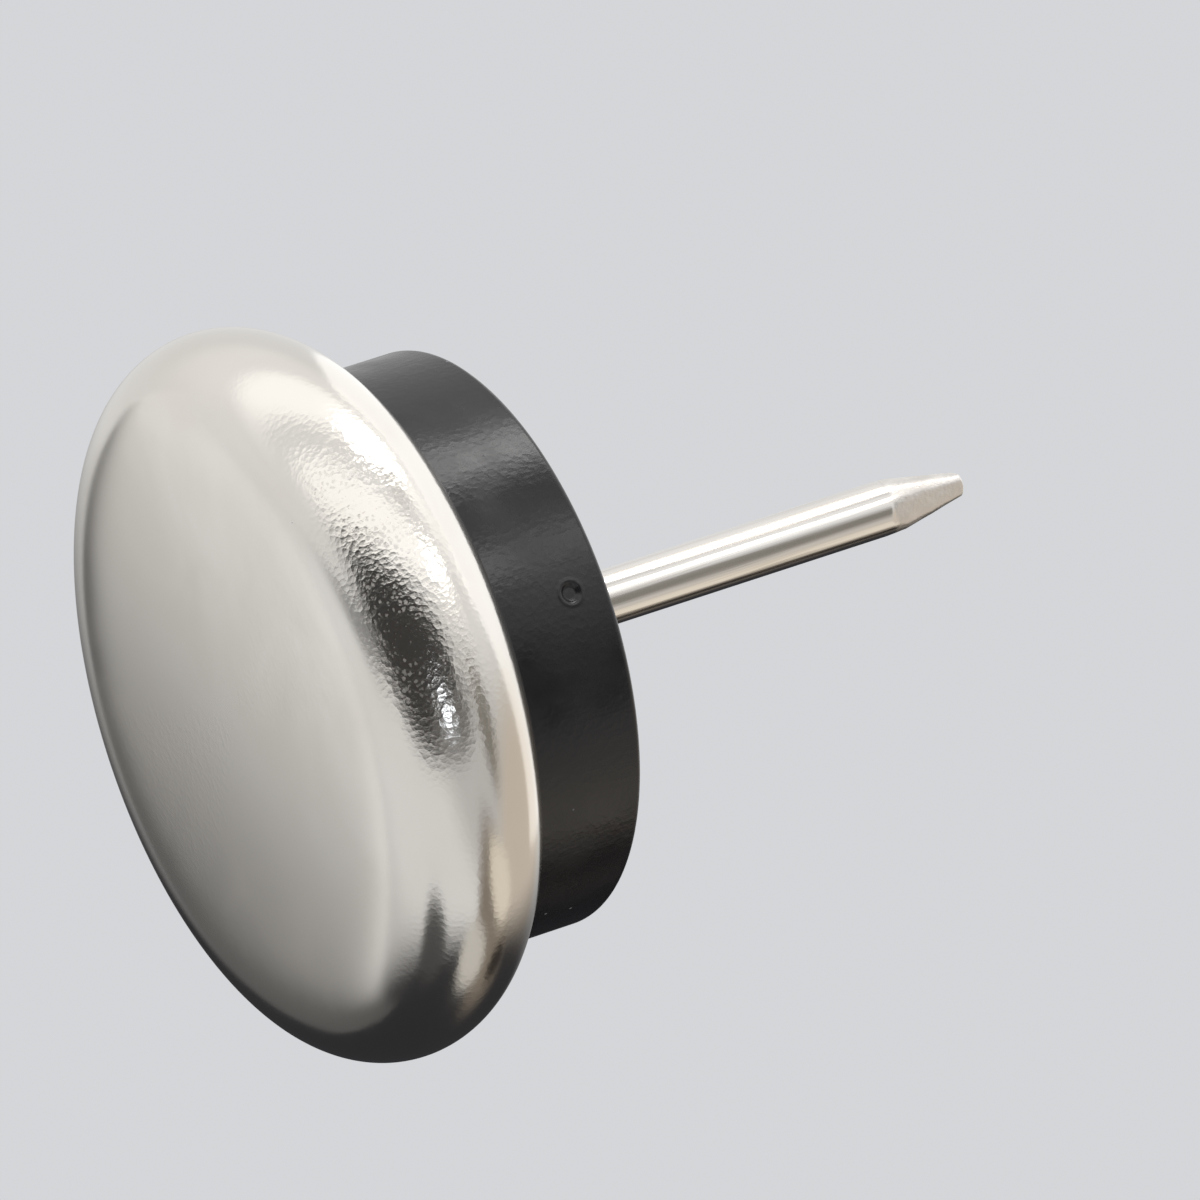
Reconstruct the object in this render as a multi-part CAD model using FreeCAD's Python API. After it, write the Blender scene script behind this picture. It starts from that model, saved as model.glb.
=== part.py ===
import FreeCAD, Part
import math
import os

# Nail-on glide for the foot of a furniture leg, in millimetres.
# A pressed steel cap slides on the floor. A moulded base fills the cap and is held there by the cap's
# rolled rim. A nail, with its head trapped between the two, stands up through the base into the leg.
# +Z points up the nail, and the origin is the centre of the cap's flat sole.

# Steel cap
cap_diameter = 27.0
cap_height = 5.8
sheet_thickness = 0.65
rim_width = 2.8

# Moulded base
neck_rise = 4.6
seat_edge_round = 0.25
gate_scar_diameter = 0.8
gate_scar_depth = 0.12
gate_scar_drop = 1.5
gate_scar_angle = -93.0

# Nail
nail_diameter = 2.03
nail_reach = 20.1
head_diameter = 5.0
head_thickness = 1.0
head_edge_round = 0.2
grip_diameter = 2.4
grip_taper_length = 0.5
point_length = 3.3
point_corner_delay = 0.6
tip_across_flats = 0.8
tip_across_corners = 1.0
tip_edge_round = 0.15
facet_count = 4

# Clearances
rim_clearance = 0.05
curl_clearance = 0.05
head_clearance = 0.1
shank_clearance = 0.04

# The cap's edge is one full half round, so its radius is half the cap's height.
# The rolled rim reaches in from the cap's outside as far as the base's neck.
cap_radius = cap_diameter / 2
edge_radius = cap_height / 2
sole_radius = cap_radius - edge_radius
inner_edge_radius = edge_radius - sheet_thickness
neck_radius = cap_radius - rim_width

# The base rests on the cap's floor, and its flange follows the inside of the cap's round edge.
flange_edge_radius = inner_edge_radius - curl_clearance
flange_middle_z = sheet_thickness + flange_edge_radius
seat_z = cap_height + neck_rise

# The nail's head rests on the cap's floor too. Inside the base the shank is thicker, for its grip in the
# plastic, and it tapers to the bare shank just under the seat.
nail_radius = nail_diameter / 2
grip_radius = grip_diameter / 2
grip_top_z = seat_z - grip_taper_length
head_radius = head_diameter / 2
head_top_z = sheet_thickness + head_thickness
tip_z = seat_z + nail_reach
point_z = tip_z - point_length

# A tool that takes metal or plastic away stands past the piece by this much.
overshoot = 1.0


def section_point(radius, height):
    """A point of a section, at a radius from the nail's axis and a height above the sole."""
    return FreeCAD.Vector(radius, 0, height)


def point_on_arc(centre, radius, degrees):
    """The point of a section's arc at an angle, where 0 points outwards and 90 points up."""
    turn = math.radians(degrees)
    return centre + FreeCAD.Vector(radius * math.cos(turn), 0, radius * math.sin(turn))


def arc(centre, radius, first, last):
    """A section's arc from one angle to another."""
    middle = (first + last) / 2
    return Part.Arc(
        point_on_arc(centre, radius, first),
        point_on_arc(centre, radius, middle),
        point_on_arc(centre, radius, last),
    ).toShape()


def line(start, end):
    """A section's straight edge."""
    return Part.LineSegment(start, end).toShape()


def revolved(edges):
    """The solid that a closed section makes when it turns once around the nail's axis."""
    face = Part.Face(Part.Wire(edges))
    return face.revolve(FreeCAD.Vector(0, 0, 0), FreeCAD.Vector(0, 0, 1), 360)


def steel_cap():
    """The pressed cap: a flat sole, a half-round edge and a rim rolled in as far as the base's neck."""
    edge_centre = section_point(sole_radius, edge_radius)
    sheet_middle_radius = edge_radius - sheet_thickness / 2

    # The sheet's end is rounded, and its innermost point stands one clearance off the neck.
    rim_end_radius = neck_radius + rim_clearance + sheet_thickness / 2
    rim_angle = math.degrees(math.acos((rim_end_radius - sole_radius) / sheet_middle_radius))
    rim_end = point_on_arc(edge_centre, sheet_middle_radius, rim_angle)

    axis_bottom = section_point(0, 0)
    axis_top = section_point(0, sheet_thickness)
    section = [
        line(axis_bottom, section_point(sole_radius, 0)),
        arc(edge_centre, edge_radius, -90, rim_angle),
        arc(rim_end, sheet_thickness / 2, rim_angle, rim_angle + 180),
        arc(edge_centre, inner_edge_radius, rim_angle, -90),
        line(section_point(sole_radius, sheet_thickness), axis_top),
        line(axis_top, axis_bottom),
    ]
    return revolved(section)


def base_flange():
    """The part of the base inside the cap: a disc with a half-round edge."""
    edge_centre = section_point(sole_radius, flange_middle_z)
    flange_top_z = flange_middle_z + flange_edge_radius
    axis_bottom = section_point(0, sheet_thickness)
    axis_top = section_point(0, flange_top_z)
    section = [
        line(axis_bottom, section_point(sole_radius, sheet_thickness)),
        arc(edge_centre, flange_edge_radius, -90, 90),
        line(section_point(sole_radius, flange_top_z), axis_top),
        line(axis_top, axis_bottom),
    ]
    return revolved(section)


def base_neck():
    """The part of the base above the flange, up to the flat seat, with the seat's edge rounded."""
    round_centre = section_point(neck_radius - seat_edge_round, seat_z - seat_edge_round)
    axis_bottom = section_point(0, flange_middle_z)
    axis_top = section_point(0, seat_z)
    section = [
        line(axis_bottom, section_point(neck_radius, flange_middle_z)),
        line(section_point(neck_radius, flange_middle_z), point_on_arc(round_centre, seat_edge_round, 0)),
        arc(round_centre, seat_edge_round, 0, 90),
        line(point_on_arc(round_centre, seat_edge_round, 90), axis_top),
        line(axis_top, axis_bottom),
    ]
    return revolved(section)


def gate_scar():
    """The small round dimple that the moulding gate leaves on the side of the neck."""
    turn = math.radians(gate_scar_angle)
    outwards = FreeCAD.Vector(math.cos(turn), math.sin(turn), 0)
    bottom = outwards * (neck_radius - gate_scar_depth) + FreeCAD.Vector(0, 0, seat_z - gate_scar_drop)
    return Part.makeCylinder(gate_scar_diameter / 2, gate_scar_depth + overshoot, bottom, outwards)


def nail_space():
    """The hole through the base: a pocket for the nail's head, a bore for its grip and a tapered mouth."""
    pocket_radius = head_radius + head_clearance
    bore_radius = grip_radius + shank_clearance
    mouth_radius = nail_radius + shank_clearance
    pocket_top_z = head_top_z + head_clearance
    outline = [
        section_point(0, sheet_thickness - overshoot),
        section_point(pocket_radius, sheet_thickness - overshoot),
        section_point(pocket_radius, pocket_top_z),
        section_point(bore_radius, pocket_top_z),
        section_point(bore_radius, grip_top_z),
        section_point(mouth_radius, seat_z),
        section_point(mouth_radius, seat_z + overshoot),
        section_point(0, seat_z + overshoot),
    ]
    return revolved([line(start, end) for start, end in zip(outline, outline[1:] + outline[:1])])


def plastic_base():
    """The moulded base: flange and neck in one, with the nail's hole and the gate's mark."""
    body = base_flange().fuse(base_neck()).removeSplitter()
    return body.cut(nail_space()).cut(gate_scar())


def nail_blank():
    """The nail before its point is pressed: head, straight shank, tapered end and blunt tip."""
    head_low_centre = section_point(head_radius - head_edge_round, sheet_thickness + head_edge_round)
    head_high_centre = section_point(head_radius - head_edge_round, head_top_z - head_edge_round)
    tip_centre = section_point(tip_across_corners / 2 - tip_edge_round, tip_z - tip_edge_round)
    under_head = section_point(grip_radius, head_top_z)
    grip_top = section_point(grip_radius, grip_top_z)
    shank_start = section_point(nail_radius, seat_z)
    taper_start = section_point(nail_radius, point_z + point_corner_delay)
    axis_bottom = section_point(0, sheet_thickness)
    axis_top = section_point(0, tip_z)
    section = [
        line(axis_bottom, point_on_arc(head_low_centre, head_edge_round, -90)),
        arc(head_low_centre, head_edge_round, -90, 0),
        line(
            point_on_arc(head_low_centre, head_edge_round, 0),
            point_on_arc(head_high_centre, head_edge_round, 0),
        ),
        arc(head_high_centre, head_edge_round, 0, 90),
        line(point_on_arc(head_high_centre, head_edge_round, 90), under_head),
        line(under_head, grip_top),
        line(grip_top, shank_start),
        line(shank_start, taper_start),
        line(taper_start, point_on_arc(tip_centre, tip_edge_round, 0)),
        arc(tip_centre, tip_edge_round, 0, 90),
        line(point_on_arc(tip_centre, tip_edge_round, 90), axis_top),
        line(axis_top, axis_bottom),
    ]
    return revolved(section)


def facet_tool():
    """The wedge outside one pressed facet, which leaves the shank at the point's start."""
    flat_at_tip = tip_across_flats / 2
    slope = (nail_radius - flat_at_tip) / point_length
    above = overshoot
    outer = nail_radius + overshoot
    corners = [
        section_point(nail_radius, point_z),
        section_point(outer, point_z),
        section_point(outer, tip_z + above),
        section_point(flat_at_tip - slope * above, tip_z + above),
    ]
    face = Part.Face(Part.makePolygon(corners + corners[:1]))
    face.translate(FreeCAD.Vector(0, -outer, 0))
    return face.extrude(FreeCAD.Vector(0, 2 * outer, 0))


def nail():
    """The headed nail, with the facets of its blunt point spaced evenly around it."""
    shape = nail_blank()
    for index in range(facet_count):
        tool = facet_tool()
        tool.rotate(FreeCAD.Vector(0, 0, 0), FreeCAD.Vector(0, 0, 1), index * 360 / facet_count)
        shape = shape.cut(tool)
    return shape


pieces = {
    "steel_cap": steel_cap(),
    "plastic_base": plastic_base(),
    "nail": nail(),
}

os.makedirs("parts", exist_ok=True)
for name, shape in pieces.items():
    print(name, "solids", len(shape.Solids), "valid", shape.isValid(), "volume", round(shape.Volume, 2))
    shape.exportStep("parts/" + name + ".step")
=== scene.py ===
"""Nail-on furniture glide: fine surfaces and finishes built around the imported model.

The glide stands on its flat sole with the nail up. Lengths are in metres, as millimetres times MM, and places
are in the model's own frame: the origin is the centre of the sole and +Z points up the nail.
"""
import logging
import math
from dataclasses import dataclass
from enum import Enum
from typing import ClassVar

import bpy
import numpy as np
from mathutils import Matrix, Vector


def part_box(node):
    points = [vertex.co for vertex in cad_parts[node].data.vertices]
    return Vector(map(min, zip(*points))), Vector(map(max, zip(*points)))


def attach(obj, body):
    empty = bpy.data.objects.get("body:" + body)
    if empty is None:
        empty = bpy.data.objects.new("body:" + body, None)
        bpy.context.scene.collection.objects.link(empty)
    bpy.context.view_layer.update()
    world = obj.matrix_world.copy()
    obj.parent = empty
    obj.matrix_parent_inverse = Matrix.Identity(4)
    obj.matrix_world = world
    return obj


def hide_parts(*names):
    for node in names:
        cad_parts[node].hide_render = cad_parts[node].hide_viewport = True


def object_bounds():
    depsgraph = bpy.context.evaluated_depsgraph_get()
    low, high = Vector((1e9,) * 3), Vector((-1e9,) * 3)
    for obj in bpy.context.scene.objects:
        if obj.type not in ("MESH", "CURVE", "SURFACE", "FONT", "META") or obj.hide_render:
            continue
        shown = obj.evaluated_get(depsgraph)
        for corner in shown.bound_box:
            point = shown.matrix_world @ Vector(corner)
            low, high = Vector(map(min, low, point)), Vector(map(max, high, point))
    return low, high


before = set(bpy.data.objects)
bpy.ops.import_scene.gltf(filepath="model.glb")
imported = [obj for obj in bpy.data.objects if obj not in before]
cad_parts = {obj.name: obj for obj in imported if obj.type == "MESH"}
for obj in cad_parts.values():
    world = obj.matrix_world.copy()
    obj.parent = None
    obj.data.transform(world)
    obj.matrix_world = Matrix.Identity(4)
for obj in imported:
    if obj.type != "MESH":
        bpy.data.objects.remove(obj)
cad_low, cad_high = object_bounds()

MM = 0.001
NOISE_MEAN = 0.5
DOME_MEAN = 0.3
TINY = 1e-9
Socket = bpy.types.NodeSocket
Pair = tuple[float, float]
Triple = tuple[float, float, float]
Array = np.ndarray
log = logging.getLogger("glide")


class Node(Enum):
    """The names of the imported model's nodes."""

    CAP = "steel_cap"
    BASE = "plastic_base"
    NAIL = "nail"


class Slot(Enum):
    """The record's material slots."""

    CAP = "cap_nickel"
    BASE = "base_black"
    NAIL = "nail_plate"


def node_radius(node: Node) -> float:
    """Gives a round node's outer radius: the least of its four reaches from the nail's axis along X and Y."""
    low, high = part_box(node.value)
    return min(high.x, high.y, -low.x, -low.y)


def node_top(node: Node) -> float:
    """Gives the height of a node's highest point."""
    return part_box(node.value)[1].z


def line_run(start: Pair, end: Pair, count: int) -> Array:
    """Gives a straight stretch's (radius, height) rows: start plus even shares of the way to end."""
    share = np.linspace(0.0, 1.0, count)[:, None]
    return np.array(start) * (1.0 - share) + np.array(end) * share


def arc_run(centre: Pair, radius: float, first: float, last: float, count: int) -> Array:
    """Gives an arc's rows, its centre plus radius times cosine and sine, by angles in degrees with 90 up."""
    turn = np.radians(np.linspace(first, last, count))
    return np.array(centre) + radius * np.column_stack((np.cos(turn), np.sin(turn)))


def section_of(*runs: Array) -> Array:
    """Joins runs of points into one section, leaving out the points where two runs meet twice.

    Args:
        runs: Arrays of (radius, height) rows, in order, with the solid on the left of the way along them.

    Returns:
        One array of (radius, height) rows.
    """
    points = np.vstack(runs)
    step = np.linalg.norm(np.diff(points, axis=0), axis=1)
    return points[np.concatenate(([True], step > TINY))]


def angles_around(count: int, fine_at: float = 0.0, fine_span: float = 0.0, fine_count: int = 0) -> Array:
    """Gives count even angles round the turn in radians, and fine_count more over fine_span at fine_at."""
    runs = (np.linspace(0.0, 2.0 * math.pi, count, endpoint=False),
            fine_at + np.linspace(-0.5, 0.5, fine_count) * fine_span)
    return np.unique(np.round(np.concatenate(runs) % (2.0 * math.pi), 6))


def smooth_step(value: Array, low: float, high: float) -> Array:
    """Gives 0 below low and 1 above high, with the smooth cubic 3t^2 - 2t^3 of the share t in between."""
    share = np.clip((value - low) / (high - low), 0.0, 1.0)
    return share * share * (3.0 - 2.0 * share)


def turned_mesh(name: str, radius: Array, height: Array, angles: Array,
                ring: bool) -> bpy.types.Mesh:
    """Makes a mesh from a grid of rows along a section and columns around the axis.

    A point of the grid is (radius cos(angle), radius sin(angle), height). Each cell of the grid is one face
    that points out of the solid. A row of no radius becomes a single point, and its cells become triangles.

    Args:
        name: The mesh's name.
        radius: Distance from the axis of each grid point, rows by columns.
        height: Height of each grid point, rows by columns.
        angles: The angle of each column, in radians.
        ring: True if the last row meets the first, so that the section is a closed loop.

    Returns:
        The mesh, shaded smooth.
    """
    rows, columns = radius.shape
    points = np.stack((radius * np.cos(angles), radius * np.sin(angles), height), axis=-1).reshape(-1, 3)
    index = np.arange(rows * columns).reshape(rows, columns)
    poles = np.all(radius < TINY, axis=1)
    index[poles] = index[poles][:, :1]
    below = index if ring else index[:-1]
    above = np.roll(index, -1, axis=0) if ring else index[1:]
    corners = (below, np.roll(below, -1, axis=1), np.roll(above, -1, axis=1), above)
    cells = np.stack(corners, axis=-1).reshape(-1, 4)
    low_pole = cells[:, 0] == cells[:, 1]
    high_pole = cells[:, 2] == cells[:, 3]
    faces = cells[~low_pole & ~high_pole].tolist()
    faces += cells[low_pole][:, [0, 2, 3]].tolist()
    faces += cells[high_pole][:, [0, 1, 2]].tolist()
    used, packed = np.unique(np.concatenate([np.ravel(face) for face in faces]), return_inverse=True)
    sizes = np.cumsum([len(face) for face in faces])[:-1]
    mesh = bpy.data.meshes.new(name)
    mesh.from_pydata(points[used].tolist(), [], [face.tolist() for face in np.split(packed, sizes)])
    mesh.shade_smooth()
    return mesh


class Wiring:
    """Adds nodes to one node tree and joins their sockets."""

    def __init__(self, tree: bpy.types.NodeTree) -> None:
        """Keeps the tree that the nodes go into."""
        self.tree = tree

    def node(self, kind: str, inputs: dict | None = None, **settings: object) -> bpy.types.Node:
        """Adds one node.

        Args:
            kind: The node's type name.
            inputs: Socket names or numbers, each with a plain value or the socket that feeds it. Colours
                are given full alpha.
            settings: The node's own properties.

        Returns:
            The new node.
        """
        made = self.tree.nodes.new(kind)
        for key, value in settings.items():
            setattr(made, key, value)
        for key, value in (inputs or {}).items():
            socket = made.inputs[key]
            if isinstance(value, Socket):
                self.tree.links.new(value, socket)
            else:
                socket.default_value = (*value, 1.0) if socket.type == "RGBA" else value
        return made

    def math(self, operation: str, first: object, second: object = 0.0, third: object = 0.0,
             clamp: bool = False) -> Socket:
        """Adds a Math node, fed by numbers or sockets and clamped if asked, and gives its result."""
        inputs = {0: first, 1: second, 2: third}
        return self.node("ShaderNodeMath", inputs, operation=operation, use_clamp=clamp).outputs[0]

    def vector(self, operation: str, first: object, second: object, output: str = "Vector") -> Socket:
        """Adds a Vector Math node, fed by vectors or sockets, and gives its Vector or its Value."""
        return self.node("ShaderNodeVectorMath", {0: first, 1: second}, operation=operation).outputs[output]

    def ramp(self, value: object, low: object, high: object, to_low: float = 0.0,
             to_high: float = 1.0) -> Socket:
        """Adds a smooth Map Range node, from low and high to to_low and to_high, and gives its result."""
        inputs = {"Value": value, "From Min": low, "From Max": high, "To Min": to_low, "To Max": to_high}
        return self.node("ShaderNodeMapRange", inputs, interpolation_type="SMOOTHSTEP").outputs["Result"]

    def blend(self, share: object, first: object, second: object) -> Socket:
        """Adds a colour Mix node, fed by colours or sockets, and gives its result."""
        return self.node("ShaderNodeMix", {0: share, 6: first, 7: second}, data_type="RGBA").outputs[2]

    def bump(self, height: Socket, distance: float, **under: Socket) -> Socket:
        """Adds a Bump node, laid over the normal given as Normal if there is one, and gives its normal."""
        inputs = {"Strength": 1.0, "Distance": distance, "Height": height, **under}
        return self.node("ShaderNodeBump", inputs).outputs["Normal"]


def bare_material(name: str) -> tuple[bpy.types.Material, Wiring]:
    """Starts a material with no nodes.

    Args:
        name: The material's name.

    Returns:
        The material and its wiring.
    """
    material = bpy.data.materials.new(name)
    material.use_nodes = True
    material.node_tree.nodes.clear()
    return material, Wiring(material.node_tree)


def place_in_mm(wiring: Wiring) -> Socket:
    """Gives the place on the object's own coordinates, in millimetres."""
    place = wiring.node("ShaderNodeTexCoord").outputs["Object"]
    return wiring.node("ShaderNodeMapping", {"Vector": place, "Scale": (1.0 / MM,) * 3}).outputs["Vector"]


class Effect(Enum):
    """The surface effects that several finishes share, each one node group."""

    GRAIN = "surface_grain"
    STREAKS = "drawn_streaks"
    HAZE = "handling_haze"
    SPECKS = "dust_specks"


class EffectLibrary:
    """Builds each shared surface effect once, as a node group."""

    def __init__(self) -> None:
        """Builds the four node groups."""
        self.groups = {
            Effect.GRAIN: self._grain(),
            Effect.STREAKS: self._streaks(),
            Effect.HAZE: self._haze(),
            Effect.SPECKS: self._specks(),
        }

    @staticmethod
    def _group(effect: Effect, sizes: dict[str, float]) -> tuple[Wiring, bpy.types.NodeOutputs]:
        """Starts a node group with a Vector input in millimetres, number inputs and one number output.

        Args:
            effect: The effect, whose name the group takes.
            sizes: The number inputs and their default values.

        Returns:
            The group's wiring and the sockets of its inputs.
        """
        tree = bpy.data.node_groups.new(effect.value, "ShaderNodeTree")
        tree.interface.new_socket("Vector", in_out="INPUT", socket_type="NodeSocketVector")
        for name, value in sizes.items():
            socket = tree.interface.new_socket(name, in_out="INPUT", socket_type="NodeSocketFloat")
            socket.default_value = value
        tree.interface.new_socket("Value", in_out="OUTPUT", socket_type="NodeSocketFloat")
        return Wiring(tree), tree.nodes.new("NodeGroupInput").outputs

    @staticmethod
    def _finish(wiring: Wiring, value: Socket) -> bpy.types.NodeTree:
        """Joins the group's result to its output and gives the tree."""
        wiring.node("NodeGroupOutput", {"Value": value})
        return wiring.tree

    def _grain(self) -> bpy.types.NodeTree:
        """Fine orange peel over slow waves.

        The height is noise of the grain's size, plus a share of round pebbles (the squared distance to the
        nearest of many scattered points), plus a share of noise of the waves' size. Each is taken from its
        own mean, so that a mask on the whole leaves no step.

        Returns:
            The group's tree.
        """
        sizes = {"Grain Size": 0.2, "Pebble Size": 0.3, "Pebble Share": 0.0, "Wave Size": 3.0,
                 "Wave Share": 0.5}
        wiring, given = self._group(Effect.GRAIN, sizes)
        vector = {"Vector": given["Vector"]}
        scales = {name: wiring.math("DIVIDE", 1.0, given[name]) for name in sizes if "Size" in name}
        fine = wiring.node("ShaderNodeTexNoise", {**vector, "Scale": scales["Grain Size"], "Detail": 2.0})
        slow = wiring.node("ShaderNodeTexNoise", {**vector, "Scale": scales["Wave Size"], "Detail": 1.0})
        cells = wiring.node("ShaderNodeTexVoronoi", {**vector, "Scale": scales["Pebble Size"]})
        domes = wiring.math("SUBTRACT", wiring.math("POWER", cells.outputs["Distance"], 2.0), DOME_MEAN)
        peel = wiring.math("SUBTRACT", fine.outputs["Fac"], NOISE_MEAN)
        peel = wiring.math("ADD", peel, wiring.math("MULTIPLY", domes, given["Pebble Share"]))
        waves = wiring.math("SUBTRACT", slow.outputs["Fac"], NOISE_MEAN)
        waves = wiring.math("MULTIPLY", waves, given["Wave Share"])
        return self._finish(wiring, wiring.math("ADD", peel, waves))

    def _streaks(self) -> bpy.types.NodeTree:
        """Lines drawn along Z: noise on a vector squeezed along Z and stretched across it.

        Returns:
            The group's tree.
        """
        wiring, given = self._group(Effect.STREAKS, {"Across Size": 0.2, "Along Size": 8.0})
        across = wiring.math("DIVIDE", 1.0, given["Across Size"])
        along = wiring.math("DIVIDE", 1.0, given["Along Size"])
        scale = wiring.node("ShaderNodeCombineXYZ", {"X": across, "Y": across, "Z": along}).outputs[0]
        squeezed = wiring.vector("MULTIPLY", given["Vector"], scale)
        noise = wiring.node("ShaderNodeTexNoise", {"Vector": squeezed, "Scale": 1.0, "Detail": 3.0})
        return self._finish(wiring, noise.outputs["Fac"])

    def _haze(self) -> bpy.types.NodeTree:
        """Soft patches left by handling: warped noise of the patch size, with its contrast raised.

        Returns:
            The group's tree.
        """
        wiring, given = self._group(Effect.HAZE, {"Patch Size": 4.0, "Contrast": 2.0})
        scale = wiring.math("DIVIDE", 1.0, given["Patch Size"])
        inputs = {"Vector": given["Vector"], "Scale": scale, "Detail": 4.0, "Distortion": 0.6}
        noise = wiring.node("ShaderNodeTexNoise", inputs)
        centred = wiring.math("SUBTRACT", noise.outputs["Fac"], NOISE_MEAN)
        raised = wiring.math("MULTIPLY", centred, given["Contrast"])
        return self._finish(wiring, wiring.math("ADD", raised, NOISE_MEAN, clamp=True))

    def _specks(self) -> bpy.types.NodeTree:
        """Scattered dust: the middles of a share of random cells, each as wide as the speck size.

        Returns:
            The group's tree.
        """
        wiring, given = self._group(Effect.SPECKS, {"Spacing": 1.0, "Speck Size": 0.05, "Share": 0.3})
        scale = wiring.math("DIVIDE", 1.0, given["Spacing"])
        cells = wiring.node("ShaderNodeTexVoronoi", {"Vector": given["Vector"], "Scale": scale})
        reach = wiring.math("MULTIPLY", given["Speck Size"], scale)
        near = wiring.ramp(cells.outputs["Distance"], wiring.math("MULTIPLY", reach, 0.5), reach, 1.0, 0.0)
        draw = wiring.node("ShaderNodeSeparateColor", {"Color": cells.outputs["Color"]}).outputs[0]
        kept = wiring.math("LESS_THAN", draw, given["Share"])
        return self._finish(wiring, wiring.math("MULTIPLY", near, kept))


@dataclass(frozen=True)
class Surface:
    """What a finish is built on: its wiring, the place on it in millimetres, and the shared effects."""

    wiring: Wiring
    place: Socket
    effects: EffectLibrary

    def effect(self, effect: Effect, **sizes: float) -> Socket:
        """Places a shared effect.

        Args:
            effect: Which effect.
            sizes: Its group's number inputs, with underscores for spaces in their names.

        Returns:
            The effect's value socket.
        """
        inputs = {"Vector": self.place}
        inputs.update((name.replace("_", " ").title(), value) for name, value in sizes.items())
        group = self.wiring.node("ShaderNodeGroup", inputs, node_tree=self.effects.groups[effect])
        return group.outputs["Value"]


class Finish:
    """A surface finish, whose patterns are placed in millimetres on the object's own coordinates."""

    name: ClassVar[str]

    def inputs(self, surface: Surface) -> dict[str, object]:
        """Works out the shader's inputs.

        Args:
            surface: What the finish is built on.

        Returns:
            The names of the Principled shader's inputs, each with a plain value or the socket that feeds it.
        """
        raise NotImplementedError

    def material(self, effects: EffectLibrary) -> bpy.types.Material:
        """Builds the finish.

        Args:
            effects: The shared surface effects.

        Returns:
            The material.
        """
        material, wiring = bare_material(self.name)
        inputs = self.inputs(Surface(wiring, place_in_mm(wiring), effects))
        shader = wiring.node("ShaderNodeBsdfPrincipled", inputs)
        wiring.node("ShaderNodeOutputMaterial", {"Surface": shader.outputs["BSDF"]})
        return material


@dataclass(frozen=True)
class NickelPlate(Finish):
    """Bright nickel on pressed steel: a warm mirror softened by orange peel, haze and a little dust.

    The peel stands where the sheet was bent most: round the edge, and most of all on the sides that
    rolled_towards points along, where its lowest spots are dull. Sizes and reaches are in millimetres.
    """

    name: ClassVar[str] = "nickel plate"
    tint: Triple = (0.80, 0.775, 0.735)
    aged_tint: Triple = (0.74, 0.70, 0.64)
    aged_share: float = 0.6
    dust_tint: Triple = (0.85, 0.84, 0.82)
    dust_roughness: float = 0.6
    roughness: float = 0.13
    haze_roughness: float = 0.05
    grain_size: float = 0.115
    pebble_size: float = 0.20
    pebble_share: float = 1.3
    wave_size: float = 2.6
    wave_share: float = 1.4
    bump_depth: float = 0.0085 * MM
    pit_heights: Pair = (-0.52, -0.14)
    pit_roughness: float = 0.40
    sole_bump: float = 0.04
    drawn_reach: Pair = (11.0, 12.8)
    bend_top: Pair = (2.6, 4.4)
    rolled_towards: Triple = (-0.276, -0.961, 0.0)
    rolled_span: Pair = (0.62, 0.96)
    rolled_least: float = 0.2

    def bent_share(self, surface: Surface) -> Socket:
        """Works out how much the sheet was bent: by its reach from the axis, its height and its side.

        Args:
            surface: What the finish is built on.

        Returns:
            The socket of a share that goes up to 1.
        """
        wiring = surface.wiring
        flat = wiring.vector("MULTIPLY", surface.place, (1.0, 1.0, 0.0))
        reach = wiring.vector("LENGTH", flat, (0.0, 0.0, 0.0), "Value")
        drawn = wiring.ramp(reach, *self.drawn_reach, self.sole_bump, 1.0)
        height = wiring.node("ShaderNodeSeparateXYZ", {0: surface.place}).outputs["Z"]
        bent = wiring.ramp(height, *self.bend_top, 1.0, self.rolled_least)
        along = wiring.vector("DOT_PRODUCT", flat, self.rolled_towards, "Value")
        cosine = wiring.math("DIVIDE", along, wiring.math("MAXIMUM", reach, 1.0))
        rolled = wiring.ramp(wiring.math("POWER", cosine, 2.0), *self.rolled_span, self.rolled_least, 1.0)
        return wiring.math("MULTIPLY", wiring.math("MULTIPLY", drawn, bent), rolled)

    def inputs(self, surface: Surface) -> dict[str, object]:
        """Works out the shader's inputs.

        Args:
            surface: What the finish is built on.

        Returns:
            The shader's inputs.
        """
        wiring = surface.wiring
        haze = surface.effect(Effect.HAZE, patch_size=5.0, contrast=2.2)
        grain = surface.effect(Effect.GRAIN, grain_size=self.grain_size, pebble_size=self.pebble_size,
                               pebble_share=self.pebble_share, wave_size=self.wave_size,
                               wave_share=self.wave_share)
        dust = surface.effect(Effect.SPECKS, spacing=1.5, speck_size=0.055, share=0.3)
        aged = wiring.math("MULTIPLY", haze, self.aged_share)
        colour = wiring.blend(aged, self.tint, self.aged_tint)
        share = self.bent_share(surface)
        pits = wiring.ramp(grain, *self.pit_heights, 1.0, 0.0)
        worn = wiring.ramp(share, self.rolled_least, 1.0, 0.0, self.pit_roughness)
        rough = wiring.math("MULTIPLY_ADD", haze, self.haze_roughness, self.roughness)
        rough = wiring.math("MAXIMUM", rough, wiring.math("MULTIPLY", dust, self.dust_roughness))
        rough = wiring.math("MAXIMUM", rough, wiring.math("MULTIPLY", pits, worn))
        return {
            "Base Color": wiring.blend(dust, colour, self.dust_tint),
            "Metallic": wiring.math("SUBTRACT", 1.0, dust),
            "Roughness": rough,
            "Normal": wiring.bump(wiring.math("MULTIPLY", grain, share), self.bump_depth),
        }


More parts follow.
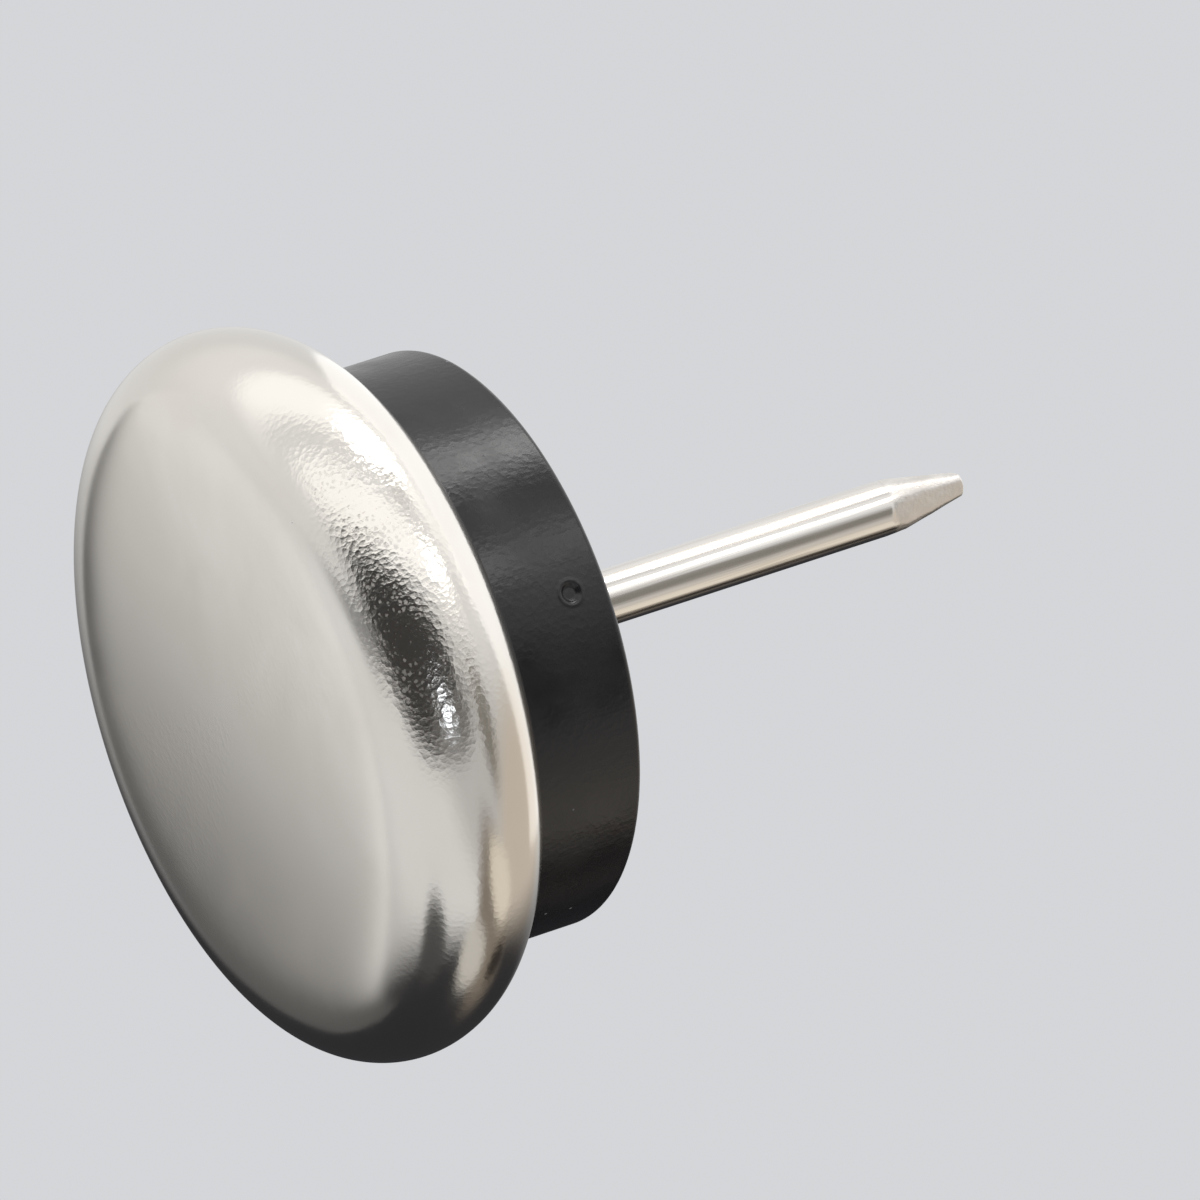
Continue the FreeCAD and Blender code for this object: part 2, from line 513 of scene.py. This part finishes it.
@dataclass(frozen=True)
class MouldedPlastic(Finish):
    """Black moulded plastic: a soft sheen, a faint skin texture, fine ejection streaks and pale dust."""

    name: ClassVar[str] = "moulded black"
    tint: Triple = (0.007, 0.007, 0.009)
    worn_tint: Triple = (0.016, 0.016, 0.019)
    worn_share: float = 0.5
    dust_tint: Triple = (0.20, 0.20, 0.22)
    dust_roughness: float = 0.8
    roughness: float = 0.17
    haze_roughness: float = 0.16
    bump_depth: float = 0.006 * MM
    streak_depth: float = 0.003 * MM
    ior: float = 1.5

    def inputs(self, surface: Surface) -> dict[str, object]:
        """Works out the shader's inputs.

        Args:
            surface: What the finish is built on.

        Returns:
            The shader's inputs.
        """
        wiring = surface.wiring
        haze = surface.effect(Effect.HAZE, patch_size=2.6, contrast=2.4)
        grain = surface.effect(Effect.GRAIN, grain_size=0.16, pebble_size=0.26, pebble_share=0.9,
                               wave_size=1.4, wave_share=1.5)
        streaks = surface.effect(Effect.STREAKS, across_size=0.12, along_size=3.0)
        dust = surface.effect(Effect.SPECKS, spacing=1.1, speck_size=0.07, share=0.22)
        worn = wiring.math("MULTIPLY", haze, self.worn_share)
        colour = wiring.blend(worn, self.tint, self.worn_tint)
        rough = wiring.math("MULTIPLY_ADD", haze, self.haze_roughness, self.roughness)
        skin = wiring.bump(grain, self.bump_depth)
        return {
            "Base Color": wiring.blend(dust, colour, self.dust_tint),
            "Roughness": wiring.math("MAXIMUM", rough, wiring.math("MULTIPLY", dust, self.dust_roughness)),
            "IOR": self.ior,
            "Normal": wiring.bump(streaks, self.streak_depth, Normal=skin),
        }


@dataclass(frozen=True)
class PlatedWire(Finish):
    """Bright plated wire: streaks drawn along the shank, and a duller, rougher point where it was pressed."""

    name: ClassVar[str] = "plated wire"
    point_start: float
    point_onset: Pair = (-0.05, 0.25)
    tint: Triple = (0.86, 0.835, 0.80)
    streak_tint: Triple = (0.60, 0.55, 0.49)
    streak_range: Pair = (0.52, 0.68)
    streak_share: float = 0.55
    streak_roughness: float = 0.14
    streak_depth: float = 0.006 * MM
    point_tint: Triple = (0.66, 0.62, 0.58)
    point_share: float = 0.7
    point_roughness: float = 0.36
    point_depth: float = 0.02 * MM
    roughness: float = 0.15
    dust_roughness: float = 0.6

    def inputs(self, surface: Surface) -> dict[str, object]:
        """Works out the shader's inputs.

        Args:
            surface: What the finish is built on.

        Returns:
            The shader's inputs.
        """
        wiring = surface.wiring
        height = wiring.node("ShaderNodeSeparateXYZ", {0: surface.place}).outputs["Z"]
        pressed = wiring.ramp(height, *(self.point_start / MM + past for past in self.point_onset))
        streaks = surface.effect(Effect.STREAKS, across_size=0.16, along_size=9.0)
        haze = surface.effect(Effect.HAZE, patch_size=1.6, contrast=2.6)
        grain = surface.effect(Effect.GRAIN, grain_size=0.18, wave_size=0.7, wave_share=1.0)
        dust = surface.effect(Effect.SPECKS, spacing=1.3, speck_size=0.05, share=0.2)
        line = wiring.ramp(streaks, *self.streak_range)
        lined = wiring.math("MULTIPLY", line, self.streak_share)
        shank = wiring.blend(lined, self.tint, self.streak_tint)
        dulled = wiring.math("MULTIPLY", haze, self.point_share)
        point = wiring.blend(dulled, self.tint, self.point_tint)
        rough = wiring.math("MULTIPLY_ADD", line, self.streak_roughness, self.roughness)
        rough = wiring.math("MULTIPLY_ADD", pressed, self.point_roughness - self.roughness, rough)
        lines = wiring.bump(streaks, self.streak_depth)
        marks = wiring.math("MULTIPLY", grain, pressed)
        return {
            "Base Color": wiring.blend(pressed, shank, point),
            "Metallic": 1.0,
            "Roughness": wiring.math("MAXIMUM", rough, wiring.math("MULTIPLY", dust, self.dust_roughness)),
            "Normal": wiring.bump(marks, self.point_depth, Normal=lines),
        }


@dataclass(frozen=True)
class Role:
    """A piece's name, the node it stands for, its slot, its crease angle and if its section is a loop."""

    name: str
    node: Node
    slot: Slot
    crease_angle: float
    ring: bool = False


class TurnedPiece:
    """A piece whose surface is a section carried round the nail's axis, and shaped a little after that."""

    role: ClassVar[Role]
    columns: int

    def section(self) -> Array:
        """Gives the section as an array of (radius, height) rows."""
        raise NotImplementedError

    def angles(self) -> Array:
        """Gives the angles of the surface's columns, in radians."""
        return angles_around(self.columns)

    def shaped(self, radius: Array, height: Array, angles: Array) -> Array:
        """Gives the finished radius of each grid point, here the turned radius itself."""
        return radius

    def build(self, finish: Finish, effects: EffectLibrary) -> bpy.types.Object:
        """Builds the piece's surface and dresses it.

        Args:
            finish: Its finish.
            effects: The shared surface effects.

        Returns:
            The finished piece, riding on the glide's only body.
        """
        section, angles = self.section(), self.angles()
        radius = np.repeat(section[:, :1], len(angles), axis=1)
        height = np.repeat(section[:, 1:], len(angles), axis=1)
        radius = self.shaped(radius, height, angles)
        mesh = turned_mesh(self.role.name, radius, height, angles, self.role.ring)
        mesh.set_sharp_from_angle(angle=math.radians(self.role.crease_angle))
        piece = bpy.data.objects.new(mesh.name, mesh)
        bpy.context.scene.collection.objects.link(piece)
        mesh.materials.append(finish.material(effects))
        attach(piece, "root")
        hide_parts(self.role.node.value)
        log.info("%s: %d faces, stands for %s", piece.name, len(mesh.polygons), self.role.node.value)
        return piece


@dataclass
class SteelCap(TurnedPiece):
    """The pressed cap: a sole that eases into its round edge, and a rim rolled in to the base's neck."""

    role: ClassVar[Role] = Role("nickel_cap", Node.CAP, Slot.CAP, 60.0)
    radius: float
    edge_radius: float = 2.9 * MM
    sheet: float = 0.65 * MM
    rim_reach: float = 2.8 * MM
    rim_gap: float = 0.05 * MM
    ease_rise: float = 0.08 * MM
    ease_angle: float = 12.0
    columns: int = 288

    def section(self) -> Array:
        """Works out the shell's section: the sole, the round edge, the sheet's rounded end and the inside.

        The edge's arc is smaller than a half round by the rise that the sole needs to ease into it. With r
        the radius and R the radius where the arc takes over, the sole's height is the arc's height there
        times r over R to the power that gives both the same slope.

        Returns:
            An array of (radius, height) rows.
        """
        centre = (self.radius - self.edge_radius, self.edge_radius)
        end_radius = self.radius - self.rim_reach + self.rim_gap + self.sheet / 2.0
        middle = self.edge_radius - self.sheet / 2.0
        rim_turn = math.degrees(math.acos((end_radius - centre[0]) / middle))
        inside = arc_run(centre, self.edge_radius - self.sheet, rim_turn, -90.0, 30)
        round_radius = self.edge_radius - self.ease_rise / 2.0
        eased = (self.radius - round_radius, self.edge_radius + self.ease_rise / 2.0)
        edge = arc_run(eased, round_radius, self.ease_angle - 90.0, rim_turn, 80)
        last_radius, last_height = edge[0]
        power = last_radius * math.tan(math.radians(self.ease_angle)) / last_height
        share = np.sin(np.linspace(0.0, math.pi / 2.0, 44))
        sole = np.column_stack((last_radius * share, last_height * share ** power))
        across = (edge[-1] - inside[0]) / 2.0
        lip_turn = math.degrees(math.atan2(across[1], across[0]))
        lip_middle = tuple((edge[-1] + inside[0]) / 2.0)
        lip = arc_run(lip_middle, float(np.hypot(*across)), lip_turn, lip_turn + 180.0, 14)
        return section_of(sole, edge, lip, inside, line_run((centre[0], self.sheet), (0.0, self.sheet), 6))


@dataclass
class PlasticBase(TurnedPiece):
    """The moulded base: a flange inside the cap, a round neck, a flat seat and the gate's small mark.

    What starts with dimple, lip or fine is a share of the gate's radius, but lip_share is one of its depth
    and fine_columns is a count.
    """

    role: ClassVar[Role] = Role("moulded_base", Node.BASE, Slot.BASE, 50.0, ring=True)
    seat_height: float
    flange_radius: float
    neck_radius: float = 10.7 * MM
    floor_height: float = 0.65 * MM
    flange_round: float = 2.2 * MM
    seat_round: float = 0.25 * MM
    mouth_radius: float = 1.055 * MM
    mouth_round: float = 0.06 * MM
    mouth_depth: float = 0.4 * MM
    bore_radius: float = 1.24 * MM
    pocket_radius: float = 2.6 * MM
    pocket_top: float = 1.75 * MM
    pocket_seam: float = 0.01 * MM
    gate_angle: float = math.radians(-93.0)
    gate_drop: float = 1.5 * MM
    gate_radius: float = 0.4 * MM
    gate_depth: float = 0.12 * MM
    dimple_wall: Pair = (0.55, 1.0)
    lip_place: float = 1.15
    lip_width: float = 0.14
    lip_share: float = 0.18
    fine_reach: float = 1.6
    fine_span: float = 4.0
    fine_columns: int = 40
    columns: int = 288

    def section(self) -> Array:
        """Works out the base's closed section, from the pocket out round the flange, up the neck and in.

        Returns:
            An array of (radius, height) rows.
        """
        neck, bore, pocket = self.neck_radius, self.bore_radius, self.pocket_radius
        floor, pocket_top, seat = self.floor_height, self.pocket_top, self.seat_height
        middle = (self.flange_radius - self.flange_round, floor + self.flange_round)
        turn_in = math.degrees(math.acos((neck - middle[0]) / self.flange_round))
        step_height = middle[1] + self.flange_round * math.sin(math.radians(turn_in))
        gate, reach = seat - self.gate_drop, self.fine_reach * self.gate_radius
        gate_low, gate_high = gate - reach, gate + reach
        edge = (neck - self.seat_round, seat - self.seat_round)
        mouth = (self.mouth_radius + self.mouth_round, seat - self.mouth_round)
        mouth_low = seat - self.mouth_depth
        return section_of(
            line_run((pocket, floor), (middle[0], floor), 4),
            arc_run(middle, self.flange_round, -90.0, turn_in, 36),
            line_run((neck, step_height), (neck, gate_low), 12),
            line_run((neck, gate_low), (neck, gate_high), 36),
            line_run((neck, gate_high), (neck, edge[1]), 5),
            arc_run(edge, self.seat_round, 0.0, 90.0, 12),
            line_run((edge[0], seat), (mouth[0], seat), 24),
            arc_run(mouth, self.mouth_round, 90.0, 180.0, 6),
            line_run((self.mouth_radius, mouth[1]), (bore, mouth_low), 3),
            line_run((bore, mouth_low), (bore, pocket_top), 3),
            line_run((bore, pocket_top), (pocket, pocket_top), 2),
            line_run((pocket, pocket_top), (pocket, floor + self.pocket_seam), 2),
        )

    def angles(self) -> Array:
        """Gives the angles of the surface's columns, closer together around the gate's mark."""
        span = self.fine_span * self.gate_radius / self.neck_radius
        return angles_around(self.columns, self.gate_angle, span, self.fine_columns)

    def shaped(self, radius: Array, height: Array, angles: Array) -> Array:
        """Sinks the gate's mark into the neck's side.

        With d the distance along the side from the mark's middle, over the mark's radius, the dimple is the
        depth times a step that falls from 1 to 0 over the dimple's wall, and the lip is a low bell in d
        around its place.

        Args:
            radius: The turned radius of each grid point.
            height: Height of each grid point.
            angles: The angle of each column, in radians.

        Returns:
            The radius of each grid point, smaller in the dimple and larger on the lip.
        """
        turn = (angles - self.gate_angle + math.pi) % (2.0 * math.pi) - math.pi
        across = turn[None, :] * self.neck_radius
        away = np.hypot(across, height - (self.seat_height - self.gate_drop)) / self.gate_radius
        on_side = np.abs(radius - self.neck_radius) < TINY
        dimple = -self.gate_depth * (1.0 - smooth_step(away, *self.dimple_wall))
        lip = self.lip_share * self.gate_depth * np.exp(-((away - self.lip_place) / self.lip_width) ** 2)
        return radius + np.where(on_side, dimple + lip, 0.0)


@dataclass
class HeadedNail(TurnedPiece):
    """The wire nail: a flat head under the base, a plain shank and a blunt point with four pressed facets.

    Each of the press's waves is its share, how often it goes round, its length up the nail and its start.
    """

    role: ClassVar[Role] = Role("wire_nail", Node.NAIL, Slot.NAIL, 45.0)
    tip_height: float
    seat_height: float
    head_radius: float
    floor_height: float = 0.65 * MM
    head_thickness: float = 1.0 * MM
    head_round: float = 0.2 * MM
    radius: float = 1.015 * MM
    grip_radius: float = 1.2 * MM
    grip_taper: float = 0.5 * MM
    point_length: float = 3.3 * MM
    point_lead: float = 0.3 * MM
    corner_delay: float = 0.6 * MM
    tip_flats: float = 0.8 * MM
    tip_corners: float = 1.0 * MM
    tip_round: float = 0.15 * MM
    facets: int = 4
    facet_turn: float = math.radians(20.0)
    facet_exit: float = 4.0
    softness: float = 22.0
    press_lead: float = 0.4 * MM
    press_marks: float = 0.012 * MM
    press_onset: float = 0.5 * MM
    press_middle: float = 0.3 * MM
    press_level: Pair = (0.5, 0.31)
    press_waves: tuple[tuple[float, ...], ...] = ((1.0, 3.0, 0.31 * MM, 0.0), (0.6, 5.0, -0.17 * MM, 1.0))
    columns: int = 160

    @property
    def point_start(self) -> float:
        """The height where the pressed point starts."""
        return self.tip_height - self.point_length

    def section(self) -> Array:
        """Works out the nail's section before the facets, from under the head up to the tip.

        Returns:
            An array of (radius, height) rows.
        """
        radius, grip, floor, seat = self.radius, self.grip_radius, self.floor_height, self.seat_height
        head_low = (self.head_radius - self.head_round, floor + self.head_round)
        head_top = floor + self.head_thickness
        head_high = (head_low[0], head_top - self.head_round)
        grip_top = seat - self.grip_taper
        shank_top = self.point_start - self.point_lead
        taper = self.point_start + self.corner_delay
        tip = (self.tip_corners / 2.0 - self.tip_round, self.tip_height - self.tip_round)
        return section_of(
            line_run((0.0, floor), (head_low[0], floor), 4),
            arc_run(head_low, self.head_round, -90.0, 0.0, 5),
            arc_run(head_high, self.head_round, 0.0, 90.0, 5),
            line_run((head_high[0], head_top), (grip, head_top), 3),
            line_run((grip, head_top), (grip, grip_top), 4),
            line_run((grip, grip_top), (radius, seat), 3),
            line_run((radius, seat), (radius, shank_top), 60),
            line_run((radius, shank_top), (radius, taper), 24),
            line_run((radius, taper), (self.tip_corners / 2.0, tip[1]), 60),
            arc_run(tip, self.tip_round, 0.0, 90.0, 10),
            line_run((tip[0], self.tip_height), (0.0, self.tip_height), 5),
        )

    def shaped(self, radius: Array, height: Array, angles: Array) -> Array:
        """Presses the facets into the point, and the marks of the tools into them.

        A facet's middle lies at the shank's radius where the point starts and closes evenly to half the tip's
        width. Below the point it leaves the shank at facet_exit times that radius over the point's length.
        Away from its middle by an angle a, a flat is further off by one over the cosine of a. The radius is
        the soft least of the turned radius r and the flats' radius f, (r^-n + f^-n)^(-1/n), less a small mark
        made of a few sine waves that grows over the point.

        Args:
            radius: The turned radius of each grid point.
            height: Height of each grid point.
            angles: The angle of each column, in radians.

        Returns:
            The finished radius of each grid point.
        """
        unit, power = self.radius, -self.softness
        along = (height - self.point_start) / self.point_length
        middle = unit + (self.tip_flats / 2.0 - unit) * along
        middle = np.where(along < 0.0, unit * (1.0 - self.facet_exit * along), middle)
        turn = 2.0 * math.pi / self.facets
        away = (angles - self.facet_turn + turn / 2.0) % turn - turn / 2.0
        flats = middle / np.cos(away)[None, :]
        safe = np.maximum(radius, TINY)
        soft = unit * ((safe / unit) ** power + (flats / unit) ** power) ** (1.0 / power)
        turn = angles[None, :]
        wave = sum(share * np.sin(around * turn + height / length + start)
                   for share, around, length, start in self.press_waves)
        grow = smooth_step(height, self.point_start, self.point_start + self.press_onset)
        fade = smooth_step(safe, 0.0, self.press_middle)
        level, swing = self.press_level
        on_point = height > self.point_start - self.press_lead
        marked = soft - self.press_marks * grow * fade * (level + swing * wave)
        return np.where(on_point & (radius > TINY), np.minimum(marked, radius), radius)


@dataclass(frozen=True)
class SoftCard:
    """A soft oval patch of the studio's surroundings, as the polished metal sees it. Angles are in degrees.

    The bearing is 0 towards the front (-Y) and 90 towards +X, the height is the angle above the floor, and
    the roll turns the patch about its middle.
    """

    bearing: float
    height: float
    half_width: float
    half_height: float
    colour: Triple
    roll: float = 0.0
    softness: float = 0.4
    horizon: ClassVar[float] = 0.1

    def axes(self) -> tuple[Vector, Vector, Vector]:
        """Works out where the patch lies.

        Returns:
            The unit vector to its middle, and the unit vectors along its width and its height.
        """
        bearing, height = math.radians(self.bearing), math.radians(self.height)
        flat = Vector((math.sin(bearing), -math.cos(bearing), 0.0))
        ahead = flat * math.cos(height) + Vector((0.0, 0.0, math.sin(height)))
        spin = Matrix.Rotation(math.radians(self.roll), 3, ahead)
        across = Vector((math.cos(bearing), math.sin(bearing), 0.0))
        return ahead, spin @ across, spin @ ahead.cross(across)

    def paint(self, wiring: Wiring, towards: Socket, colour: object) -> Socket:
        """Lays the patch over what is behind it.

        With w and h the parts of the direction along the patch's axes, each over the sine of its half size,
        the patch is solid where w^2 + h^2 is well below 1, gone where it is well above 1, and soft between.
        Its twin behind stays out, because the patch fades in as the cosine ahead rises from 0 to horizon.

        Args:
            wiring: The world's wiring.
            towards: The direction that is looked in.
            colour: The colour behind the patch.

        Returns:
            The colour with the patch.
        """
        ahead, across, upwards = self.axes()
        wide = wiring.vector("DOT_PRODUCT", towards, across, "Value")
        tall = wiring.vector("DOT_PRODUCT", towards, upwards, "Value")
        wide = wiring.math("DIVIDE", wide, math.sin(math.radians(self.half_width)))
        tall = wiring.math("DIVIDE", tall, math.sin(math.radians(self.half_height)))
        squares = wiring.math("ADD", wiring.math("POWER", wide, 2.0), wiring.math("POWER", tall, 2.0))
        inside = wiring.ramp(squares, 1.0 - self.softness, 1.0 + self.softness, 1.0, 0.0)
        facing = wiring.ramp(wiring.vector("DOT_PRODUCT", towards, ahead, "Value"), 0.0, self.horizon)
        return wiring.blend(wiring.math("MULTIPLY", inside, facing), colour, self.colour)


@dataclass
class Studio:
    """The floor, the surroundings, the lamp and the camera.

    The numbers in sole_card_fall and sole_card_fade are millimetres over the sole's card.
    """

    object_low: Vector
    object_high: Vector
    view_tilt: float = math.radians(-26.6)
    view_roll: float = math.radians(18.0)
    camera_distance: float = 0.6
    camera_clip: Pair = (0.01, 10.0)
    field_width: float = 0.043
    background: Triple = (0.66, 0.67, 0.69)
    surroundings: Triple = (0.79, 0.79, 0.79)
    floor_tint: Triple = (0.80, 0.80, 0.79)
    floor_half: float = 2.0
    floor_gap: float = 0.02 * MM
    lamp_place: Triple = (-0.10, 0.10, 0.45)
    lamp_target: Triple = (0.0, 0.0, 10.0 * MM)
    lamp_size: Pair = (0.60, 0.60)
    lamp_radiance: float = 0.42
    sole_card_low: Pair = (-60.0 * MM, 10.0 * MM)
    sole_card_high: Pair = (60.0 * MM, 150.0 * MM)
    sole_card_drop: float = 40.0 * MM
    sole_card_tint: Triple = (1.0, 0.995, 0.985)
    sole_card_slant: float = 0.88
    sole_card_fall: Pair = (70.0, 102.5)
    sole_card_light: Pair = (0.88, 0.11)
    sole_card_fade: Pair = (50.0, 63.0)
    cards: tuple[SoftCard, ...] = (
        SoftCard(-94.0, 10.0, 29.0, 72.0, (0.92, 0.91, 0.90), roll=-44.0, softness=0.5),
        SoftCard(43.0, 15.0, 31.0, 73.0, (0.58, 0.58, 0.58), roll=-25.0, softness=0.6),
        SoftCard(-85.0, 13.0, 15.0, 62.0, (1.24, 1.23, 1.21), roll=-31.0),
        SoftCard(-47.0, -17.5, 15.5, 62.0, (1.25, 1.24, 1.22), roll=-32.0, softness=0.35),
        SoftCard(-109.5, -85.5, 39.0, 5.0, (0.26, 0.26, 0.26), roll=-21.0, softness=0.6),
        SoftCard(-53.0, 27.0, 5.0, 9.0, (0.66, 0.65, 0.64), softness=0.5),
        SoftCard(-1.5, -45.5, 26.5, 51.0, (0.045, 0.043, 0.042), roll=-12.0, softness=0.35),
        SoftCard(21.0, -19.0, 10.5, 27.0, (0.18, 0.175, 0.17), roll=6.5, softness=0.65),
        SoftCard(25.0, 26.5, 18.0, 9.5, (0.23, 0.215, 0.19), softness=0.8),
        SoftCard(18.0, -24.5, 3.2, 7.0, (3.0, 3.2, 3.5), roll=4.0),
        SoftCard(90.0, 50.0, 38.0, 31.0, (0.63, 0.565, 0.49), softness=0.5),
        SoftCard(137.5, 3.0, 48.5, 46.0, (0.03, 0.03, 0.033), roll=18.0, softness=0.3),
        SoftCard(86.5, 15.0, 37.0, 15.8, (0.235, 0.20, 0.165), roll=16.0, softness=0.5),
        SoftCard(109.5, 26.5, 7.0, 6.0, (0.02, 0.017, 0.015), softness=0.5),
        SoftCard(75.0, 22.0, 9.0, 20.0, (0.82, 0.75, 0.64), roll=-54.0, softness=0.5),
        SoftCard(110.5, -36.5, 12.0, 13.0, (0.07, 0.07, 0.07), roll=8.0, softness=0.5),
        SoftCard(98.0, 1.0, 15.0, 11.0, (0.62, 0.60, 0.56), roll=37.0, softness=0.5),
        SoftCard(-71.0, 26.5, 6.3, 17.0, (6.6, 6.5, 6.4), softness=0.6),
        SoftCard(-26.0, 28.0, 5.0, 11.0, (3.0, 2.95, 2.9), softness=0.7),
    )

    def build_world(self) -> None:
        """Builds the surroundings, plain to the camera and with soft light and dark cards to all else."""
        world = bpy.data.worlds.new("studio surroundings")
        bpy.context.scene.world = world
        world.use_nodes = True
        world.node_tree.nodes.clear()
        wiring = Wiring(world.node_tree)
        towards = wiring.node("ShaderNodeTexCoord").outputs["Generated"]
        colour = self.surroundings
        for card in self.cards:
            colour = card.paint(wiring, towards, colour)
        seen = wiring.node("ShaderNodeLightPath").outputs["Is Camera Ray"]
        colour = wiring.blend(seen, colour, self.background)
        shade = wiring.node("ShaderNodeBackground", {"Color": colour, "Strength": 1.0})
        wiring.node("ShaderNodeOutputWorld", {"Surface": shade.outputs[0]})

    def add_flat(self, name: str, low: Pair, high: Pair,
                 height: float) -> tuple[bpy.types.Object, Wiring]:
        """Adds a level rectangle to the scene, with an empty material.

        Args:
            name: The object's name.
            low: Its least X and Y.
            high: Its greatest X and Y.
            height: Its height.

        Returns:
            The object and its material's wiring.
        """
        mesh = bpy.data.meshes.new(name)
        corners = [(low[0], low[1]), (high[0], low[1]), (high[0], high[1]), (low[0], high[1])]
        mesh.from_pydata([(*corner, height) for corner in corners], [], [(0, 1, 2, 3)])
        material, wiring = bare_material(name)
        mesh.materials.append(material)
        flat = bpy.data.objects.new(name, mesh)
        bpy.context.scene.collection.objects.link(flat)
        return flat, wiring

    @staticmethod
    def show_where(wiring: Wiring, shown: Socket, shader: bpy.types.Node) -> None:
        """Lets a shader show by a share from 0 to 1, and leaves the rest of the surface clear.

        Args:
            wiring: The material's wiring.
            shown: The share.
            shader: The shader.
        """
        inputs = {0: shown, 1: wiring.node("ShaderNodeBsdfTransparent").outputs[0], 2: shader.outputs[0]}
        mixed = wiring.node("ShaderNodeMixShader", inputs)
        wiring.node("ShaderNodeOutputMaterial", {"Surface": mixed.outputs[0]})

    def build_floor(self) -> None:
        """Builds the pale floor, seen from above only, so that a camera below it sees the sole."""
        half = self.floor_half
        _, wiring = self.add_flat("pale floor", (-half, -half), (half, half), -self.floor_gap)
        seen = wiring.node("ShaderNodeLightPath").outputs["Is Camera Ray"]
        below = wiring.node("ShaderNodeNewGeometry").outputs["Backfacing"]
        shown = wiring.math("MULTIPLY", seen, wiring.math("SUBTRACT", 1.0, below))
        matt = wiring.node("ShaderNodeBsdfDiffuse", {"Color": self.floor_tint})
        self.show_where(wiring, shown, matt)

    def build_sole_card(self) -> None:
        """Builds the graded card that the flat sole mirrors, bright to one side and dim to the other.

        The light falls along a slanting line over the card, from its bright value to its dim value, and the
        card fades out towards its near edge, where the cap's rounded shoulder starts to mirror a dark card.
        """
        low, high, drop = self.sole_card_low, self.sole_card_high, self.sole_card_drop
        card, wiring = self.add_flat("sole card", low, high, -drop)
        parts = wiring.node("ShaderNodeSeparateXYZ", {0: place_in_mm(wiring)})
        along = wiring.math("MULTIPLY_ADD", parts.outputs["X"], self.sole_card_slant, parts.outputs["Y"])
        light = wiring.ramp(along, *self.sole_card_fall, *self.sole_card_light)
        glow = wiring.node("ShaderNodeEmission", {"Color": self.sole_card_tint, "Strength": light})
        self.show_where(wiring, wiring.ramp(parts.outputs["Y"], *self.sole_card_fade), glow)
        card.visible_camera = False
        card.visible_diffuse = False
        card.visible_shadow = False

    def build_lamp(self) -> None:
        """Places a broad soft lamp overhead, which the camera doesn't see."""
        width, depth = self.lamp_size
        data = bpy.data.lights.new("overhead", "AREA")
        data.shape = "RECTANGLE"
        data.size, data.size_y = width, depth
        data.energy = self.lamp_radiance * math.pi * width * depth
        lamp = bpy.data.objects.new("overhead", data)
        bpy.context.scene.collection.objects.link(lamp)
        aim = (Vector(self.lamp_target) - Vector(self.lamp_place)).to_track_quat("-Z", "Y")
        lamp.matrix_world = Matrix.Translation(self.lamp_place) @ aim.to_matrix().to_4x4()
        lamp.visible_camera = False

    def build_camera(self) -> None:
        """Places the camera at the photograph's viewing angle, rolled so that the nail points right and up.

        The view looks up at the sole from below the floor. Its right is the nail's direction as the view sees
        it, turned down by the roll, and its back points from the glide to the camera.
        """
        tilt, roll = self.view_tilt, self.view_roll
        back = Vector((0.0, -math.cos(tilt), math.sin(tilt)))
        along = Vector((0.0, math.sin(tilt), math.cos(tilt)))
        aside = Vector((-1.0, 0.0, 0.0))
        right = along * math.cos(roll) - aside * math.sin(roll)
        rise = along * math.sin(roll) + aside * math.cos(roll)
        place = (self.object_low + self.object_high) / 2.0 + back * self.camera_distance
        turned = Matrix((right, rise, back)).transposed().to_4x4()
        data = bpy.data.cameras.new("camera")
        data.lens = data.sensor_width * self.camera_distance / self.field_width
        data.clip_start, data.clip_end = self.camera_clip
        camera = bpy.data.objects.new("camera", data)
        bpy.context.scene.collection.objects.link(camera)
        camera.matrix_world = Matrix.Translation(place) @ turned
        bpy.context.scene.camera = camera


def main() -> None:
    """Builds the glide's three pieces, then the studio around them."""
    logging.basicConfig(level=logging.INFO, format="%(name)s: %(message)s")
    bpy.context.scene.view_settings.view_transform = "Standard"
    effects = EffectLibrary()
    seat_height = node_top(Node.BASE)
    cap = SteelCap(radius=node_radius(Node.CAP))
    cap.build(NickelPlate(), effects)
    base = PlasticBase(seat_height=seat_height, flange_radius=node_radius(Node.BASE))
    base.build(MouldedPlastic(), effects)
    nail = HeadedNail(tip_height=node_top(Node.NAIL), seat_height=seat_height,
                      head_radius=node_radius(Node.NAIL))
    nail.build(PlatedWire(point_start=nail.point_start), effects)
    studio = Studio(object_low=cad_low, object_high=cad_high)
    studio.build_world()
    studio.build_floor()
    studio.build_sole_card()
    studio.build_lamp()
    studio.build_camera()


if __name__ == "__main__":
    main()
